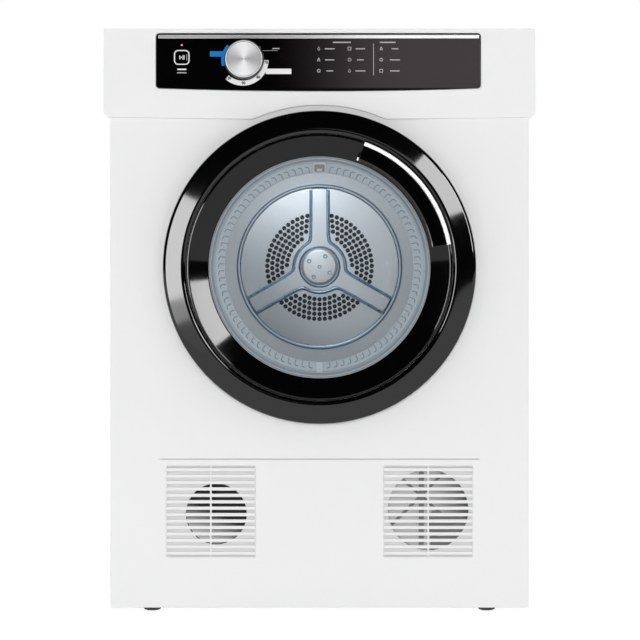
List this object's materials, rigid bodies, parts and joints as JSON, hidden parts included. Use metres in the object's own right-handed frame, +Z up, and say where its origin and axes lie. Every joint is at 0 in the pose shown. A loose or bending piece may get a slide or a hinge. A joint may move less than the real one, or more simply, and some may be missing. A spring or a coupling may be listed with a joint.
{
  "type": "clothes dryer",
  "caption": "Vented tumble clothes dryer, white cabinet with round black door, clear bowl window, louvred grilles, knob and start button, on levelling feet.",
  "frame": {"origin": "middle of the bounding box's footprint, on the floor under the feet", "axes": "+Z up, the front with the door faces -Y, +X to the right seen from the front"},
  "size_m": [0.6, 0.6, 0.81],
  "materials": {
    "white_steel": "satin",
    "white_plastic": "satin",
    "black_gloss": "gloss",
    "black_plastic": "matte",
    "grey_plastic": "matte",
    "clear_window": "gloss",
    "filter_plastic": "satin",
    "bright_trim": "gloss",
    "spun_aluminium": "brushed",
    "drum_steel": "satin",
    "zinc_steel": "satin",
    "machined_steel": "satin",
    "bearing_bronze": "satin",
    "element_steel": "matte",
    "felt": "matte",
    "seal_rubber": "matte",
    "belt_rubber": "matte",
    "board_green": "satin"
  },
  "bodies": {
    "cabinet": {"left_side_panel": "white_steel", "right_side_panel": "white_steel", "front_panel": "white_steel", "top_panel": "white_steel", "left_grille": "white_plastic", "right_grille": "white_plastic", "control_fascia": "white_plastic", "terminal_block": "white_plastic", "door_catch": "white_plastic", "control_window": "black_gloss", "trim_bar": "bright_trim", "program_selector": "black_plastic", "overheat_thermostat": "black_plastic", "cord_gland": "black_plastic", "exhaust_duct": "black_plastic", "blower_housing": "black_plastic", "control_board": "board_green", "base_pan": "zinc_steel", "rear_panel": "zinc_steel", "rear_cover": "zinc_steel", "front_bulkhead": "zinc_steel", "bearing_bracket": "zinc_steel", "motor_bracket": "zinc_steel", "hinge_bracket": "zinc_steel", "motor_housing": "zinc_steel", "heater_element": "element_steel", "rear_bearing": "bearing_bronze", "front_drum_seal": "felt", "suction_duct": "grey_plastic", "drive_belt": "belt_rubber"},
    "door": {"door_outer_ring": "black_gloss", "door_inner_bezel": "black_gloss", "door_handle": "black_gloss", "handle_trim": "bright_trim", "door_glass": "clear_window", "door_back_frame": "grey_plastic", "door_seal": "seal_rubber", "hinge_leaf": "machined_steel", "door_striker": "white_plastic"},
    "filter": {"lint_filter": "filter_plastic"},
    "drum": {"drum_shell": "drum_steel", "drum_back": "drum_steel", "drum_hub": "drum_steel", "drum_shaft": "machined_steel", "drum_lifter_1": "grey_plastic", "drum_lifter_2": "grey_plastic", "drum_lifter_3": "grey_plastic"},
    "rotor": {"motor_rotor": "machined_steel", "fan_wheel": "grey_plastic"},
    "tension_arm": {"idler_arm": "machined_steel"},
    "tension_wheel": {"idler_pulley": "white_plastic"},
    "left_roller": {"left_drum_roller": "black_plastic"},
    "right_roller": {"right_drum_roller": "black_plastic"},
    "knob": {"program_knob": "black_plastic", "knob_face": "spun_aluminium"},
    "button": {"start_button": "black_gloss"},
    "left_front_leg": {"left_front_foot": "black_plastic"},
    "right_front_leg": {"right_front_foot": "black_plastic"},
    "left_rear_leg": {"left_rear_foot": "black_plastic"},
    "right_rear_leg": {"right_rear_foot": "black_plastic"}
  },
  "joints": [
    {"name": "door_hinge", "type": "hinge", "parent": "cabinet", "child": "door", "pos_m": [-0.2105, -0.281, 0.479], "axis": [0, 0, -1], "range_deg": [0, 165]},
    {"name": "filter_pull", "type": "slide", "parent": "door", "child": "filter", "axis": [0, 1, 0], "range_m": [0, 0.03]},
    {"name": "drum_spin", "type": "hinge", "parent": "cabinet", "child": "drum", "pos_m": [0, 0, 0.479], "axis": [0, 1, 0], "continuous": true},
    {"name": "motor_spin", "type": "hinge", "parent": "cabinet", "child": "rotor", "pos_m": [0.151, 0, 0.1415], "axis": [0, 1, 0], "continuous": true},
    {"name": "belt_tension", "type": "hinge", "parent": "cabinet", "child": "tension_arm", "pos_m": [0.118, -0.05, 0.07], "axis": [0, -1, 0], "range_deg": [0, 8], "stiffness_Nm_per_rad": 3, "springref_deg": -8.59},
    {"name": "tension_wheel_spin", "type": "hinge", "parent": "tension_arm", "child": "tension_wheel", "pos_m": [0.06, -0.05, 0.146], "axis": [0, 1, 0], "continuous": true},
    {"name": "left_roller_spin", "type": "hinge", "parent": "cabinet", "child": "left_roller", "pos_m": [-0.1586, -0.21, 0.2252], "axis": [0, 1, 0], "continuous": true},
    {"name": "right_roller_spin", "type": "hinge", "parent": "cabinet", "child": "right_roller", "pos_m": [0.1586, -0.21, 0.2252], "axis": [0, 1, 0], "continuous": true},
    {"name": "program_turn", "type": "hinge", "parent": "cabinet", "child": "knob", "pos_m": [-0.1046, -0.28, 0.767], "axis": [0, 1, 0], "continuous": true},
    {"name": "start_press", "type": "slide", "parent": "cabinet", "child": "button", "axis": [0, 1, 0], "range_m": [0, 0.0015], "stiffness_N_per_m": 400, "springref_m": -0.0005},
    {"name": "left_front_foot_screw", "type": "slide", "parent": "cabinet", "child": "left_front_leg", "axis": [0, 0, -1], "range_m": [0, 0.012]},
    {"name": "left_rear_foot_screw", "type": "slide", "parent": "cabinet", "child": "left_rear_leg", "axis": [0, 0, -1], "range_m": [0, 0.012]},
    {"name": "right_front_foot_screw", "type": "slide", "parent": "cabinet", "child": "right_front_leg", "axis": [0, 0, -1], "range_m": [0, 0.012]},
    {"name": "right_rear_foot_screw", "type": "slide", "parent": "cabinet", "child": "right_rear_leg", "axis": [0, 0, -1], "range_m": [0, 0.012]}
  ],
  "couplings": [
    {"joint": "motor_spin", "follows": "drum_spin", "ratio": 29},
    {"joint": "tension_wheel_spin", "follows": "drum_spin", "ratio": -12.814},
    {"joint": "left_roller_spin", "follows": "drum_spin", "ratio": -10.96},
    {"joint": "right_roller_spin", "follows": "drum_spin", "ratio": -10.96}
  ]
}
